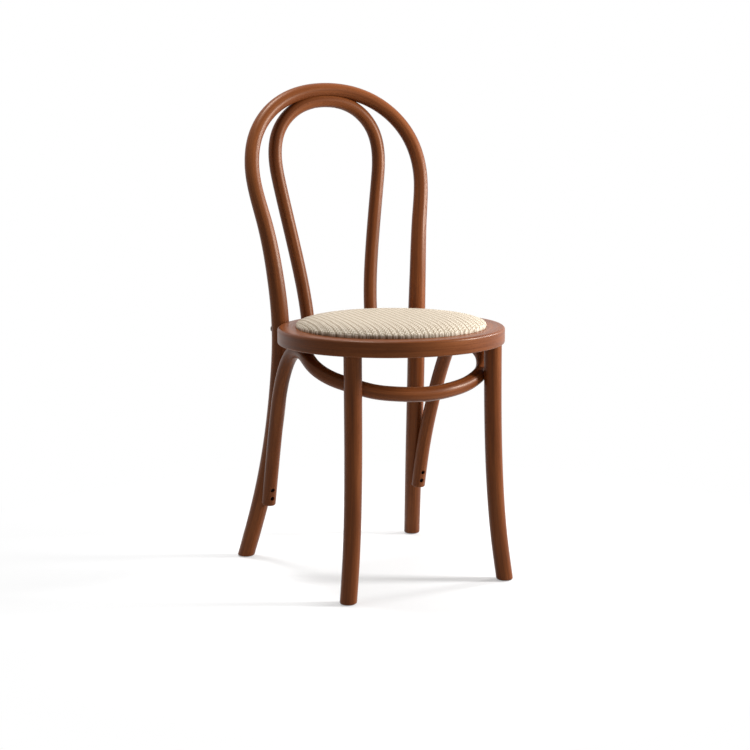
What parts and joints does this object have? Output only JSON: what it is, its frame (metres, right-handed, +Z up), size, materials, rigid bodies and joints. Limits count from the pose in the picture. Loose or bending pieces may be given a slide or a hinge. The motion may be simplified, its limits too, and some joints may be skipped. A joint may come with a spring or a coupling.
{
  "type": "bentwood cafe chair",
  "caption": "Bentwood dining chair: hooped back of bent rods, round seat ring with a woven crowned pad, splayed legs and a bent brace under the seat.",
  "frame": {"origin": "middle of the floor rectangle under the chair", "axes": "+Z up, -Y the way a sitter faces, +X to the right for someone who looks at the chair from the front; left and right in node names are seen from there"},
  "size_m": [0.412, 0.4782, 0.9],
  "materials": {
    "stained_wood": "satin red-brown stain over bent beech",
    "woven_cover": "fine cream woven cane-like cloth",
    "foam": "soft open foam",
    "plywood": "bare plywood",
    "dark_steel": "dark oxide",
    "brass": "plain turned",
    "glide": "moulded nylon"
  },
  "bodies": {
    "root": {"back_frame": "stained_wood", "inner_hoop": "stained_wood", "seat_ring": "stained_wood", "front_leg_left": "stained_wood", "front_leg_right": "stained_wood", "brace": "stained_wood", "woven_cover": "woven_cover", "seat_foam": "foam", "seat_board": "plywood", "frame_bolt_left": "dark_steel", "frame_bolt_right": "dark_steel", "hoop_screw_left": "dark_steel", "hoop_screw_right": "dark_steel", "crown_screw_left": "dark_steel", "crown_screw_right": "dark_steel", "brace_rear_screw_upper_left": "dark_steel", "brace_rear_screw_upper_right": "dark_steel", "brace_rear_screw_lower_left": "dark_steel", "brace_rear_screw_lower_right": "dark_steel", "brace_ring_screw_left": "dark_steel", "brace_ring_screw_right": "dark_steel", "brace_front_screw_left": "dark_steel", "brace_front_screw_right": "dark_steel", "board_screw_1": "dark_steel", "board_screw_2": "dark_steel", "board_screw_3": "dark_steel", "board_screw_4": "dark_steel", "frame_insert_left": "brass", "frame_insert_right": "brass", "glide_rear_left": "glide", "glide_rear_right": "glide", "glide_front_left": "glide", "glide_front_right": "glide"}
  },
  "joints": []
}
